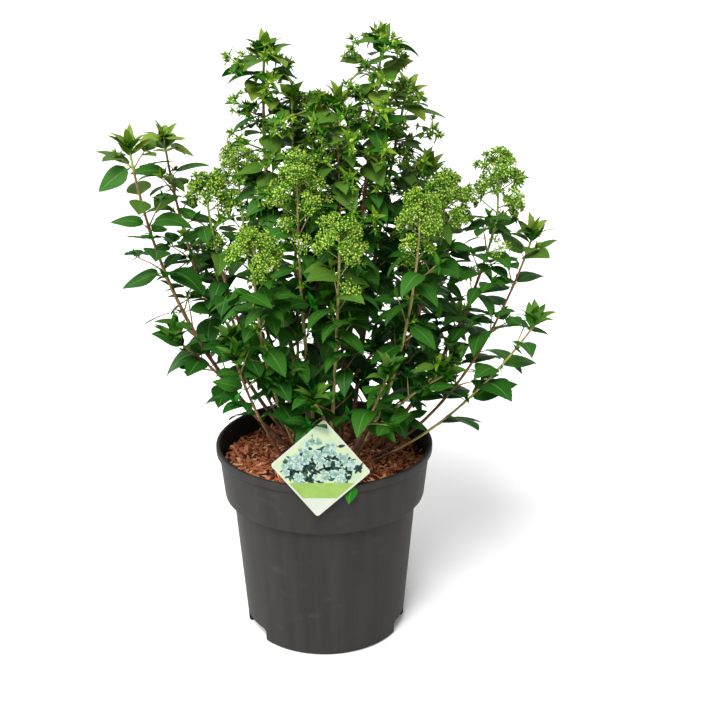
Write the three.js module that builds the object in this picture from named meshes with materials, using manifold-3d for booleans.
// A potted panicle hydrangea in bud: a round nursery pot, its bark-topped potting mix, a square
// card label on a stake, and a shrub of many stems with opposite leaves and open flower heads.
// Millimetres, +Z up. The pot stands on z = 0 with its axis on the origin, the label towards -Y.

import * as THREE from 'three';
import { mergeVertices } from 'three/addons/utils/BufferGeometryUtils.js';
import Module from 'manifold-3d';

const wasm = await Module();
wasm.setup();

const TURN = Math.PI * 2;
const DEGREE = Math.PI / 180;
const UP = new THREE.Vector3(0, 0, 1);

// Driving dimensions
const GAP = 0.3;
const POT = {
  height: 287, baseRadius: 111, wallFoot: 116.5, footHeight: 8, wallTop: 132.2, stepLow: 206,
  stepHigh: 211, collarLow: 144.5, collarTop: 151, lipLow: 275, lipRise: 4, lipRound: 1.5,
  rimRadius: 155.5, wall: 2, floor: 3, chamfer: 1, segments: 32,
};
const NOTCH = {
  spans: [[-79, -47], [60, 87], [-135, -103], [106, 133]], height: 20.5, inner: 103, outer: 134,
};
const MULCH = { edge: 259, crown: 266, flatRadius: 82 };
const CARD = {
  side: 95, corner: 4, thickness: 0.8, lean: 10, turn: 4, centreX: -1, centreHeight: 313, touchBelowRim: 3,
};
const STAKE = { width: 7, thickness: 1.6, footY: -126, sunk: 1, topHeight: 330 };
const LIMB = { sides: 5, steps: 4, rodSteps: 8 };
const LEAF = {
  lower: 75, upper: 54, young: 34, usual: 0.92, differ: 0.12, width: 0.62, widest: 0.4, droop: 0.2, keel: 1.4,
  rise: 0.25, turn: 0.35, roll: 0.4,
};
const NODE = { first: 12, last: 8, spacing: 28, jitter: 0.16, twig: 0.34, bareShare: 0.15 };
const SLOPE = { lower: -50, upper: -8, spread: 0.3, level: 0.05 };
const TWIG = {
  sides: 3, lower: 52, upper: 34, usual: 0.9, differ: 0.25, rise: 48, radius: 1.8, tip: 1.3, wood: 1.44,
  tuck: 3, wing: 1.1, wingSlope: 0.35, clear: 0.8,
};
const SPRAY = { from: 0.3, grow: 1.4, rise: 32 };
const HEAD = {
  axis: 0.72, tuck: 3, turn: 2.4, lowRise: 28, highRise: 50, taper: 0.7, usual: 0.96, differ: 0.1,
};
const TIP = { leaves: 4, lowSlope: 34, highSlope: 66, spread: 0.15, roll: 0.3, grow: 1.15, below: 3 };
const CLUSTER = { stalk: 0.9, radius: 10, small: 7, widest: 0.82 };
const MASS = { stemStep: 90, rodSteps: 14, branchRoot: 2, branchKnee: 0.12, flare: 1.1 };
const SEED = { first: 4211, step: 733, factor: 16807, modulus: 2147483647 };
const FUSE = { tolerance: 0.05, apart: 0.004, weld: 0.0001 };
const SPACE = {
  overlap: 20, limb: 3, mulch: 5, rim: 5, wall: 10, touch: 0.5, near: 0.3, hidden: 0.25, stem: 1,
  partWay: 0.6,
};

// One record for each stem from the root: where it leaves the mulch, how it bends, where it ends,
// the share of it that is bare, its thickness at the foot, and the flower head it bears. Some also
// have their own distance between leaf pairs, leaves that hang less by so many degrees, and a first
// pair turned by so many degrees from the X axis.
const SHOOTS = [
  { name: 'far_left', foot: [-46, 6], knee: [-222, 10, 430], tip: [-254, -10, 714], bare: 0.38, girth: 8.5,
    spacing: 34, lift: 14, spin: 0 },
  { name: 'left_rear', foot: [-44, 32], knee: [-186, 70, 420], tip: [-222, 90, 704], bare: 0.36, girth: 7.5,
    lift: 14, spin: 90 },
  { name: 'left_inner', foot: [-26, 16], knee: [-130, 25, 420], tip: [-156, 20, 622], bare: 0.3, girth: 7,
    head: { height: 45, width: 70, count: 6 } },
  { name: 'tall_left', foot: [-12, 34], knee: [-92, 40, 560], tip: [-75, 30, 832], bare: 0.3, girth: 9,
    spacing: 26.5, buds: 0.95 },
  { name: 'centre_rear', foot: [2, 46], knee: [-16, 70, 520], tip: [-14, 74, 716], bare: 0.32, girth: 7,
    head: { height: 50, width: 75, count: 6 } },
  { name: 'tall_right', foot: [22, 20], knee: [48, 14, 580], tip: [80, 0, 844], bare: 0.32, girth: 9.5,
    spacing: 25, buds: 0.95 },
  { name: 'tall_rear', foot: [38, 44], knee: [66, 66, 540], tip: [115, 82, 772], bare: 0.3, girth: 8, spin: 50,
    spacing: 25, buds: 0.95 },
  { name: 'right_rear', foot: [58, 34], knee: [122, 100, 450], tip: [150, 146, 650], bare: 0.3, girth: 7,
    buds: 0.8 },
  { name: 'centre_left', foot: [-10, -8], knee: [-30, -34, 480], tip: [-30, -62, 628], bare: 0.28, girth: 7,
    head: { height: 88, width: 96, count: 9 } },
  { name: 'front_left', foot: [-30, -34], knee: [-84, -90, 420], tip: [-82, -148, 582], bare: 0.22, girth: 6,
    head: { height: 48, width: 82, count: 7 } },
  { name: 'front_centre', foot: [8, -40], knee: [20, -80, 450], tip: [25, -130, 594], bare: 0.22, girth: 6.5,
    head: { height: 48, width: 78, count: 7 } },
  { name: 'front_right', foot: [40, -34], knee: [116, -60, 400], tip: [128, -84, 612], bare: 0.24, girth: 6.5,
    head: { height: 56, width: 74, count: 7 } },
  { name: 'right_inner', foot: [46, 6], knee: [128, 0, 430], tip: [164, -16, 604], bare: 0.3, girth: 7,
    head: { height: 76, width: 92, count: 9 } },
  { name: 'right', foot: [68, 8], knee: [194, 18, 400], tip: [238, 6, 616], bare: 0.34, girth: 7.5,
    lift: 10, head: { height: 92, width: 100, count: 9 } },
  { name: 'far_right', foot: [74, -10], knee: [216, 6, 346], tip: [290, 22, 586], bare: 0.32, girth: 6,
    spacing: 34, lift: 26, spin: 40 },
  { name: 'low_right', foot: [66, -30], knee: [186, -50, 326], tip: [288, -62, 486], bare: 0.34, girth: 5,
    spacing: 32, lift: 34, spin: 10 },
  { name: 'rear_left', foot: [-24, 56], knee: [-112, 140, 420], tip: [-130, 206, 606], bare: 0.28, girth: 7,
    head: { height: 60, width: 84, count: 7 } },
  { name: 'rear', foot: [12, 68], knee: [10, 170, 420], tip: [12, 244, 636], bare: 0.28, girth: 7,
    head: { height: 60, width: 84, count: 7 } },
  { name: 'rear_right', foot: [46, 62], knee: [130, 170, 370], tip: [168, 240, 560], bare: 0.28, girth: 6 },
  { name: 'rear_low', foot: [-52, 56], knee: [-130, 140, 360], tip: [-176, 204, 500], bare: 0.34, girth: 5.5,
    lift: 22 },
  { name: 'low_front_left', foot: [-50, -38], knee: [-90, -88, 352], tip: [-112, -126, 458], bare: 0.34,
    girth: 5, lift: 26 },
  { name: 'low_front', foot: [24, -62], knee: [60, -110, 352], tip: [88, -158, 450], bare: 0.34, girth: 5,
    lift: 26 },
];

// Branches on a stem: the stem that each leaves, how far up it, and where the branch ends.
const BRANCHES = [
  { name: 'left_low', on: 'far_left', share: 0.5, tip: [-206, -26, 450], lift: 34, spin: 0 },
  { name: 'centre_low', on: 'centre_left', share: 0.7, tip: [-52, -104, 420] },
  { name: 'right_low', on: 'right', share: 0.6, tip: [184, -34, 418], lift: 18 },
  { name: 'middle_low', on: 'tall_right', share: 0.45, tip: [78, -8, 430] },
  { name: 'rear_inner', on: 'tall_rear', share: 0.55, tip: [58, 130, 470] },
  { name: 'left_middle', on: 'left_inner', share: 0.8, tip: [-128, -40, 450] },
  { name: 'front_low', on: 'front_centre', share: 0.6, tip: [-10, -158, 410], lift: 16 },
  { name: 'front_right_low', on: 'front_right', share: 0.6, tip: [162, -108, 428], lift: 18 },
  { name: 'rear_right_low', on: 'rear_right', share: 0.5, tip: [196, 150, 420] },
  { name: 'rear_low_middle', on: 'rear', share: 0.5, tip: [-34, 190, 420], spacing: 42 },
  { name: 'upper_left', on: 'tall_left', share: 0.6, tip: [-38, 0, 778], buds: 0.9 },
  { name: 'upper_middle', on: 'tall_right', share: 0.3, tip: [22, -30, 774], buds: 0.9, spin: 40 },
];

// Materials
const material = (color, roughness) => new THREE.MeshStandardMaterial({ color, roughness, metalness: 0 });
const potPlastic = material(0x4a4a48, 0.62);
const barkMulch = material(0x5f3a26, 0.95);
const cardStock = material(0xe6ece0, 0.45);
const stakePlastic = material(0xd9d9d2, 0.5);
const stemBark = material(0x7a6047, 0.8);
const leafGreen = material(0x2f6a26, 0.55);

// Solids in and out of the Boolean library
function solidOf(geometry) {
  const bare = geometry.clone();
  bare.deleteAttribute('normal');
  bare.deleteAttribute('uv');
  const merged = mergeVertices(bare, FUSE.weld);
  const index = merged.index.array;
  const faces = [];
  for (let i = 0; i < index.length; i += 3) {
    const [a, b, c] = [index[i], index[i + 1], index[i + 2]];
    if (a !== b && b !== c && c !== a) faces.push(a, b, c);
  }
  const vertProperties = new Float32Array(merged.attributes.position.array);
  const triVerts = new Uint32Array(faces);
  return new wasm.Manifold(new wasm.Mesh({ numProp: 3, vertProperties, triVerts }));
}

function geometryOf(solid) {
  const mesh = solid.getMesh();
  const geometry = new THREE.BufferGeometry();
  geometry.setAttribute('position', new THREE.BufferAttribute(new Float32Array(mesh.vertProperties), 3));
  geometry.setIndex(new THREE.BufferAttribute(new Uint32Array(mesh.triVerts), 1));
  geometry.computeVertexNormals();
  return geometry;
}

// Whether every corner of a solid stands clear of the others by more than the given distance.
function cornersApart(solid, distance) {
  const { vertProperties: p } = solid.getMesh();
  for (let i = 0; i < p.length; i += 3) {
    for (let j = i + 3; j < p.length; j += 3) {
      const near = Math.abs(p[i] - p[j]) < distance && Math.abs(p[i + 1] - p[j + 1]) < distance;
      if (near && Math.abs(p[i + 2] - p[j + 2]) < distance) return false;
    }
  }
  return true;
}

// Fuses pieces to the first one by one. A piece that would stay loose, seal a hollow or leave two
// corners almost on one another is left out.
function fused(pieces) {
  return pieces.reduce((whole, piece) => {
    const joined = whole.add(piece).asOriginal().simplify(FUSE.tolerance);
    const sound = joined.decompose().length === 1 && cornersApart(joined, FUSE.apart);
    return sound ? joined : whole;
  });
}

function geometryFrom(points, faces) {
  const geometry = new THREE.BufferGeometry();
  const places = points.flatMap((point) => point.toArray());
  geometry.setAttribute('position', new THREE.Float32BufferAttribute(places, 3));
  geometry.setIndex(faces);
  return geometry;
}

// A small seeded random source, so that the plant grows the same way each time.
function seededRandom(seed) {
  let state = seed;
  return () => {
    state = (state * SEED.factor) % SEED.modulus;
    return state / SEED.modulus;
  };
}

const mix = (from, to, share) => from + (to - from) * share;

// The pot: one turned wall with a step under its collar, a rolled lip, and notches cut in its foot.
function potProfile() {
  const { wall, footHeight, lipRound, rimRadius } = POT;
  const inner = POT.collarTop - wall;
  return [
    [0, 0], [POT.baseRadius, 0], [POT.wallFoot - POT.chamfer, POT.floor], [POT.wallFoot, footHeight],
    [POT.wallTop, POT.stepLow], [POT.collarLow, POT.stepHigh], [POT.collarTop, POT.lipLow],
    [rimRadius, POT.lipLow + POT.lipRise], [rimRadius, POT.height - lipRound],
    [rimRadius - lipRound, POT.height], [inner, POT.height], [inner, POT.lipLow],
    [POT.collarLow - wall, POT.stepHigh + wall],
    [POT.wallTop - wall, POT.stepLow + wall], [POT.wallFoot - wall, footHeight],
    [POT.wallFoot - wall - POT.floor, POT.floor], [0, POT.floor],
  ].map(([radius, height]) => new THREE.Vector2(radius, height));
}

function turned(profile) {
  return new THREE.LatheGeometry(profile, POT.segments).rotateX(Math.PI / 2);
}

function outward(solid) {
  if (solid.volume() > 0) return solid;
  throw new Error('a turned profile runs the wrong way round');
}

// A block that reaches from one angle round the foot to another, through the wall and up to the
// notch's height.
function notchSolid([from, to]) {
  const corner = (radius, angle) => {
    const turn = (angle - 90) * DEGREE;
    return new THREE.Vector2(radius * Math.cos(turn), radius * Math.sin(turn));
  };
  const middle = (from + to) / 2;
  const outline = new THREE.Shape([
    corner(NOTCH.inner, from), corner(NOTCH.outer, from), corner(NOTCH.outer, middle),
    corner(NOTCH.outer, to), corner(NOTCH.inner, to), corner(NOTCH.inner, middle),
  ]);
  const block = new THREE.ExtrudeGeometry(outline, { depth: NOTCH.height * 2, bevelEnabled: false });
  return solidOf(block.translate(0, 0, -NOTCH.height));
}

function potSolid() {
  const whole = outward(solidOf(turned(potProfile())));
  return NOTCH.spans.reduce((solid, span) => solid.subtract(notchSolid(span)), whole);
}

// The potting mix fills the pot up to its bark mulch, which is flat round the stems.
function mulchSolid() {
  const inset = POT.wall + 2 * GAP;
  const slope = (POT.collarTop - POT.collarLow) / (POT.lipLow - POT.stepHigh);
  const edgeRadius = POT.collarLow - inset + slope * (MULCH.edge - POT.stepHigh - POT.wall);
  const notchRadius = NOTCH.inner - POT.wall;
  const notchTop = NOTCH.height + POT.floor;
  const profile = [
    [0, POT.floor + GAP], [notchRadius, POT.floor + GAP], [notchRadius, notchTop],
    [POT.wallFoot - inset, notchTop], [POT.wallTop - inset, POT.stepLow + inset],
    [POT.collarLow - inset, POT.stepHigh + inset], [edgeRadius, MULCH.edge], [MULCH.flatRadius, MULCH.crown],
    [0, MULCH.crown],
  ].map(([radius, height]) => new THREE.Vector2(radius, height));
  return outward(solidOf(turned(profile)));
}

// The label: a square card on its corner that leans back over the rim, held by a stake behind it.
function cardGeometry() {
  const half = CARD.side / 2;
  const r = CARD.corner;
  const outline = new THREE.Shape();
  const corners = [[1, 1], [-1, 1], [-1, -1], [1, -1]];
  corners.forEach(([sx, sy], k) => {
    outline.absarc(sx * (half - r), sy * (half - r), r, (TURN * k) / 4, (TURN * (k + 1)) / 4, false);
  });
  const stock = { depth: CARD.thickness, bevelEnabled: false, curveSegments: 3 };
  const card = new THREE.ExtrudeGeometry(outline, stock);
  card.translate(0, 0, -CARD.thickness / 2);
  card.rotateZ(45 * DEGREE - CARD.turn * DEGREE);
  card.rotateX((90 - CARD.lean) * DEGREE);
  return card;
}

function cardCentre() {
  const aboveTouch = CARD.centreHeight - POT.height + CARD.touchBelowRim;
  const y = aboveTouch * Math.tan(CARD.lean * DEGREE) - POT.rimRadius - GAP - CARD.thickness;
  return new THREE.Vector3(CARD.centreX, y, CARD.centreHeight);
}

function stakeEnds() {
  const centre = cardCentre();
  const rise = STAKE.topHeight - centre.z;
  const backY = centre.y + rise * Math.tan(CARD.lean * DEGREE) + CARD.thickness + STAKE.thickness / 2 + GAP;
  return [
    new THREE.Vector3(centre.x, STAKE.footY, MULCH.crown - STAKE.sunk),
    new THREE.Vector3(centre.x, backY, STAKE.topHeight),
  ];
}

// A tapering limb of few sides along a row of centres. Its ends are cut square to the directions
// given for them, and a last radius of nought ends it in a point.
function limbGeometry(centres, radii, sides, firstAlong = null, lastAlong = null) {
  const points = [];
  const faces = [];
  const last = centres.length - 1;
  const pointed = radii[last] === 0;
  const first = centres[1].clone().sub(centres[0]).normalize();
  const side = Math.abs(first.x) > 0.9 ? new THREE.Vector3(0, 1, 0) : new THREE.Vector3(1, 0, 0);
  centres.forEach((centre, ring) => {
    if (pointed && ring === last) return;
    const after = centres[Math.min(ring + 1, last)];
    const before = centres[Math.max(ring - 1, 0)];
    const along = after.clone().sub(before).normalize();
    if (firstAlong && ring === 0) along.copy(firstAlong);
    if (lastAlong && ring === last) along.copy(lastAlong);
    side.addScaledVector(along, -side.dot(along)).normalize();
    const across = new THREE.Vector3().crossVectors(along, side);
    for (let k = 0; k < sides; k += 1) {
      const turn = (TURN * k) / sides;
      const rim = centre.clone().addScaledVector(side, radii[ring] * Math.cos(turn));
      points.push(rim.addScaledVector(across, radii[ring] * Math.sin(turn)));
    }
  });
  const rings = pointed ? last : last + 1;
  for (let ring = 0; ring < rings - 1; ring += 1) {
    for (let k = 0; k < sides; k += 1) {
      const a = ring * sides + k;
      const b = ring * sides + ((k + 1) % sides);
      faces.push(a, b, b + sides, a, b + sides, a + sides);
    }
  }
  for (let k = 1; k < sides - 1; k += 1) faces.push(0, k + 1, k);
  const end = (rings - 1) * sides;
  if (pointed) {
    points.push(centres[last].clone());
    for (let k = 0; k < sides; k += 1) faces.push(end + k, end + ((k + 1) % sides), points.length - 1);
  } else {
    for (let k = 1; k < sides - 1; k += 1) faces.push(end, end + k, end + k + 1);
  }
  return geometryFrom(points, faces);
}

// A leaf: a kite-shaped blade whose tip half droops from its widest line, with a keel below. Its
// pointed root lies on the middle line of the twig that bears it. Extra makes it larger all round.
function leafGeometry(root, along, face, length, extra) {
  const across = new THREE.Vector3().crossVectors(face, along).normalize();
  const normal = new THREE.Vector3().crossVectors(along, across).normalize();
  const half = (length * LEAF.width) / 2 + extra;
  const widest = length * LEAF.widest;
  const drop = (length - widest) * LEAF.droop;
  const place = (x, y, z) => root.clone().addScaledVector(along, x).addScaledVector(across, y)
    .addScaledVector(normal, z);
  const points = [
    root.clone(), place(widest, half, extra), place(widest, -half, extra),
    place(length + extra, 0, extra - drop), place(widest, 0, -LEAF.keel - extra),
  ];
  const [back, left, right, tip, keel] = [0, 1, 2, 3, 4];
  const faces = [
    back, right, left, left, right, tip, back, left, keel,
    back, keel, right, keel, left, tip, keel, tip, right,
  ];
  return geometryFrom(points, faces);
}

// A cluster of flower buds on its own stalk: it widens from a thin root to its buds and closes
// over them.
function clusterGeometry(root, end, radius, extra) {
  const widest = root.clone().lerp(end, CLUSTER.widest);
  return limbGeometry([root, widest, end], [CLUSTER.stalk + extra, radius + extra, 0], TWIG.sides);
}

// The path of a shoot from the mulch to its tip, and the path of a branch from its stem.
function shootPath(shoot) {
  const foot = new THREE.Vector3(...shoot.foot, MULCH.crown + GAP);
  const knee = new THREE.Vector3(...shoot.knee);
  return new THREE.QuadraticBezierCurve3(foot, knee, new THREE.Vector3(...shoot.tip));
}

function branchPath(branch) {
  const shoot = SHOOTS.find(({ name }) => name === branch.on);
  const start = shootPath(shoot).getPoint(shoot.bare * branch.share);
  const tip = new THREE.Vector3(...branch.tip);
  const knee = start.clone().lerp(tip, 0.5).addScaledVector(UP, start.distanceTo(tip) * MASS.branchKnee);
  return new THREE.QuadraticBezierCurve3(start, knee, tip);
}

function shootRadius(shoot, share) {
  return mix(shoot.girth / 2, TWIG.radius, share);
}

function samples(path, from, to, count) {
  return Array.from({ length: count + 1 }, (_, i) => path.getPoint(mix(from, to, i / count)));
}

function limbSolid(shoot, extra) {
  const path = shootPath(shoot);
  const centres = samples(path, 0, shoot.bare, LIMB.steps);
  const radii = centres.map((_, i) => shootRadius(shoot, (shoot.bare * i) / LIMB.steps) + extra);
  return solidOf(limbGeometry(centres, radii, LIMB.sides, UP, path.getTangent(shoot.bare)));
}

// Each mass of foliage and the rod of points that it keeps round.
function massRecords() {
  const fromShoots = SHOOTS.map((shoot) => {
    const path = shootPath(shoot);
    const share = shoot.bare + GAP / path.getLength();
    const root = shootRadius(shoot, shoot.bare) * MASS.flare;
    return { ...shoot, path, start: share, limb: shoot.name, root };
  });
  const fromStems = BRANCHES.map((branch) => (
    { ...branch, path: branchPath(branch), start: 0, limb: branch.on, root: MASS.branchRoot, branch: true }
  ));
  return [...fromShoots, ...fromStems].map((mass, k) => {
    const rod = samples(mass.path, mass.start, 1, MASS.rodSteps);
    if (mass.head) {
      const tip = rod[MASS.rodSteps];
      const top = tip.clone().addScaledVector(UP, mass.head.height);
      rod.push(tip.clone().lerp(top, 0.5), top);
    }
    return { ...mass, rod, seed: SEED.first + k * SEED.step };
  });
}

function distanceToRod(point, rod) {
  let nearest = Infinity;
  const span = new THREE.Line3();
  const closest = new THREE.Vector3();
  for (let i = 0; i < rod.length - 1; i += 1) {
    span.set(rod[i], rod[i + 1]).closestPointToPoint(point, true, closest);
    nearest = Math.min(nearest, closest.distanceTo(point));
  }
  return nearest;
}

// A point is in a mass's own space where it is nearer its rod than any other, give or take a small
// overlap of the spaces, clear of the limbs, and above the mulch and the rim.
function inOwnSpace(point, mass, masses, limbs) {
  const own = distanceToRod(point, mass.rod);
  const reach = Math.hypot(point.x, point.y);
  if (reach < POT.rimRadius + SPACE.rim && point.z < MULCH.crown + SPACE.mulch) return false;
  const nearWall = Math.abs(reach - POT.collarTop) < SPACE.wall;
  if (nearWall && point.z < POT.height + SPACE.rim) return false;
  const others = masses.filter((other) => other !== mass);
  if (others.some((other) => distanceToRod(point, other.rod) < own - SPACE.overlap)) return false;
  return !limbs.some(({ rod, radius }) => distanceToRod(point, rod) < radius + SPACE.limb);
}

function frameAt(path, share) {
  const along = path.getTangent(share);
  const side = new THREE.Vector3(1, 0, 0).addScaledVector(along, -along.x).normalize();
  return { along, side, across: new THREE.Vector3().crossVectors(along, side) };
}

function heading(frame, turn, rise) {
  const out = frame.side.clone().multiplyScalar(Math.cos(turn)).addScaledVector(frame.across, Math.sin(turn));
  return out.multiplyScalar(Math.cos(rise)).addScaledVector(frame.along, Math.sin(rise)).normalize();
}

// The way a leaf lies: out from its twig, then drooping or rising to its own slope.
function leafLie(out, slope, roll) {
  const level = new THREE.Vector3(out.x, out.y, 0);
  if (level.length() < SLOPE.level) level.set(1, 0, 0);
  level.normalize();
  const along = level.multiplyScalar(Math.cos(slope)).addScaledVector(UP, Math.sin(slope));
  const across = new THREE.Vector3().crossVectors(UP, along).normalize();
  const face = new THREE.Vector3().crossVectors(along, across).applyAxisAngle(along, roll);
  return { along, face };
}

// The stem that runs up through a mass, with some room round it when it is kept clear of others.
function massStem(mass, extra) {
  const length = mass.path.getLength() * (1 - mass.start);
  const steps = Math.max(3, Math.round(length / MASS.stemStep));
  const centres = samples(mass.path, mass.start, 1, steps);
  if (mass.head) centres.push(centres[steps].clone().addScaledVector(UP, mass.head.height * HEAD.axis));
  const radii = centres.map((_, i) => mix(mass.root, TWIG.tip, i / (centres.length - 1)) + extra);
  return solidOf(limbGeometry(centres, radii, TWIG.sides, mass.path.getTangent(mass.start)));
}

// A branch's stem starts in the middle of its limb and is cut clear of it.
function cutClear(stem, limb) {
  const rest = stem.subtract(limb.grown).decompose();
  rest.sort((a, b) => b.volume() - a.volume());
  return rest[0].asOriginal();
}

// Grows one mass: leaves, twigs and flower buds that keep to its space, fused to its stem. Every
// number of a leaf and its twig is drawn before either is tried for room.
function growMass(mass, masses, limbs, obstacles) {
  const random = seededRandom(mass.seed);
  const spread = (amount) => (random() - 0.5) * 2 * amount;
  const length = mass.path.getLength() * (1 - mass.start);
  const stem = massStem(mass, 0);
  const pieces = [mass.branch ? cutClear(stem, limbs.find(({ name }) => name === mass.limb)) : stem];

  const clearOf = (solid, others) => {
    const box = solid.boundingBox();
    return !others.some((other) => {
      const { min, max } = other.box;
      const apart = [0, 1, 2].some((k) => box.max[k] < min[k] || box.min[k] > max[k]);
      return !apart && !solid.intersect(other.solid).isEmpty();
    });
  };
  const fits = (points) => points.every((point) => inOwnSpace(point, mass, masses, limbs));
  const outer = [];
  const addLeaf = (root, out, { size, slope, roll }) => {
    const { along, face } = leafLie(out, slope, roll);
    const shape = leafGeometry(root, along, face, size, 0);
    const at = shape.attributes.position;
    const corners = [1, 2, 3].map((k) => new THREE.Vector3().fromBufferAttribute(at, k));
    const middles = [corners[0].clone().lerp(corners[2], 0.5), corners[1].clone().lerp(corners[2], 0.5)];
    if (!fits([...corners, ...middles])) return;
    if (!clearOf(solidOf(leafGeometry(root, along, face, size, SPACE.touch)), obstacles)) return;
    const outerRoot = root.clone().addScaledVector(along, size * SPACE.hidden);
    const outerSize = size * (1 - SPACE.hidden);
    const blade = solidOf(leafGeometry(outerRoot, along, face, outerSize, SPACE.near));
    if (!clearOf(blade, outer)) return;
    outer.push(obstacleOf(blade));
    pieces.push(solidOf(shape));
  };
  const hasRoom = (root, end, grown) => (
    fits([end, root.clone().lerp(end, SPACE.partWay)]) && clearOf(solidOf(grown), obstacles)
  );
  const addTwig = (root, out, size, radius) => {
    const end = root.clone().addScaledVector(out, size);
    const grown = limbGeometry([root, end], [radius + SPACE.touch, TWIG.clear], TWIG.sides);
    if (!hasRoom(root, end, grown)) return null;
    pieces.push(solidOf(limbGeometry([root, end], [radius, 0], TWIG.sides)));
    return end;
  };
  const addCluster = (root, out, size, radius) => {
    const end = root.clone().addScaledVector(out, size);
    if (!hasRoom(root, end, clusterGeometry(root, end, radius, SPACE.touch))) return;
    pieces.push(solidOf(clusterGeometry(root, end, radius, 0)));
  };
  const leafyTwig = (root, out, reach, wings) => {
    const end = addTwig(root, out, reach, TWIG.wood);
    if (!end) return;
    const inward = end.clone().addScaledVector(out, -TWIG.tuck);
    for (const wing of wings) addLeaf(inward, out.clone().applyAxisAngle(UP, wing.turn), wing);
  };

  // Leaf pairs up the stem, each pair a quarter turn from the last, some with a twig in the axil
  const { spacing = NODE.spacing, lift = 0 } = mass;
  const anyPhase = random() * TURN;
  const phase = mass.spin === undefined ? anyPhase : mass.spin * DEGREE;
  let at = NODE.first;
  let pair = 0;
  while (at < length - NODE.last) {
    const share = at / length;
    const onPath = mix(mass.start, 1, share);
    const root = mass.path.getPoint(onPath);
    const frame = frameAt(mass.path, onPath);
    const sprays = mass.buds && share > SPRAY.from;
    for (const half of [0, Math.PI]) {
      const turn = phase + (pair * Math.PI) / 2 + half + spread(LEAF.turn);
      const slope = (mix(SLOPE.lower, SLOPE.upper, share * share) + lift) * DEGREE + spread(SLOPE.spread);
      const size = mix(LEAF.lower, LEAF.upper, share) * (LEAF.usual + spread(LEAF.differ));
      const roll = spread(LEAF.roll);
      const wanted = random() < (sprays ? mass.buds : NODE.twig);
      const reach = mix(TWIG.lower, TWIG.upper, share) * (TWIG.usual + spread(TWIG.differ));
      const wings = [-TWIG.wing, TWIG.wing].map((side) => {
        const lie = TWIG.wingSlope + spread(SLOPE.spread);
        return { turn: side, size: LEAF.young, slope: lie, roll: spread(LEAF.roll) };
      });
      addLeaf(root, heading(frame, turn, LEAF.rise), { size, slope, roll });
      if (wanted && sprays) {
        addCluster(root, heading(frame, turn, SPRAY.rise * DEGREE), reach * SPRAY.grow, CLUSTER.small);
      } else if (wanted && share > NODE.bareShare) {
        leafyTwig(root, heading(frame, turn, TWIG.rise * DEGREE), reach, wings);
      }
    }
    pair += 1;
    at += spacing * (1 + spread(NODE.jitter));
  }

  // The tip: either an open flower head of twigs with knots of buds, or a tuft of young leaves
  const top = mass.path.getPoint(1);
  if (mass.head) {
    const { height, width, count } = mass.head;
    const upright = { ...frameAt(mass.path, 1), along: UP };
    for (let k = 0; k < count; k += 1) {
      const share = k / count;
      const root = top.clone().addScaledVector(UP, height * HEAD.axis * share - HEAD.tuck);
      const rise = mix(HEAD.lowRise, HEAD.highRise, share) * DEGREE;
      const reach = (width / 2) * mix(1, HEAD.taper, share) * (HEAD.usual + spread(HEAD.differ));
      addCluster(root, heading(upright, phase + k * HEAD.turn, rise), reach, CLUSTER.radius);
    }
    addCluster(top, UP, height, CLUSTER.radius);
  } else {
    const root = mass.path.getPoint(1 - TIP.below / mass.path.getLength());
    for (let k = 0; k < TIP.leaves; k += 1) {
      const turn = phase + (k * TURN) / TIP.leaves;
      const slope = (k % 2 ? TIP.highSlope : TIP.lowSlope) * DEGREE + spread(TIP.spread);
      const young = { size: LEAF.young * TIP.grow, slope, roll: spread(TIP.roll) };
      addLeaf(root, heading(frameAt(mass.path, 1), turn, LEAF.rise), young);
    }
  }

  return fused(pieces);
}

// The whole object
const plant = new THREE.Group();

function addMesh(name, geometry, look) {
  const mesh = new THREE.Mesh(geometry, look);
  mesh.name = name;
  plant.add(mesh);
  return mesh;
}

function obstacleOf(solid) {
  return { solid, box: solid.boundingBox() };
}

const obstacles = [];
const pot = potSolid();
const mulch = mulchSolid();
addMesh('pot', geometryOf(pot), potPlastic);
addMesh('bark_mulch', geometryOf(mulch), barkMulch);
obstacles.push(obstacleOf(pot), obstacleOf(mulch));

const cardMesh = addMesh('label_card', cardGeometry(), cardStock);
cardMesh.position.copy(cardCentre());
obstacles.push(obstacleOf(solidOf(cardGeometry().translate(...cardCentre().toArray()))));

const [stakeFoot, stakeTop] = stakeEnds();
const stakeAlong = stakeTop.clone().sub(stakeFoot);
const stakeGeometry = new THREE.BoxGeometry(STAKE.width, STAKE.thickness, stakeAlong.length());
stakeGeometry.rotateX(-Math.atan2(stakeAlong.y, stakeAlong.z));
const stakeMesh = addMesh('label_stake', stakeGeometry, stakePlastic);
stakeMesh.position.copy(stakeFoot).lerp(stakeTop, 0.5);
obstacles.push(obstacleOf(solidOf(stakeGeometry.clone().translate(...stakeMesh.position.toArray()))));

const limbs = SHOOTS.map((shoot) => {
  const solid = limbSolid(shoot, 0);
  addMesh(`stem_${shoot.name}`, geometryOf(solid), stemBark);
  obstacles.push(obstacleOf(solid));
  const rod = samples(shootPath(shoot), 0, shoot.bare, LIMB.rodSteps);
  return { name: shoot.name, rod, radius: shoot.girth / 2, grown: limbSolid(shoot, GAP) };
});

const masses = massRecords();
const stems = masses.map((mass) => obstacleOf(massStem(mass, SPACE.stem)));
masses.forEach((mass, k) => {
  const solid = growMass(mass, masses, limbs, [...obstacles, ...stems.slice(k + 1)]);
  addMesh(`foliage_${mass.name}`, geometryOf(solid), leafGreen);
  obstacles.push(obstacleOf(solid));
});

export default plant;
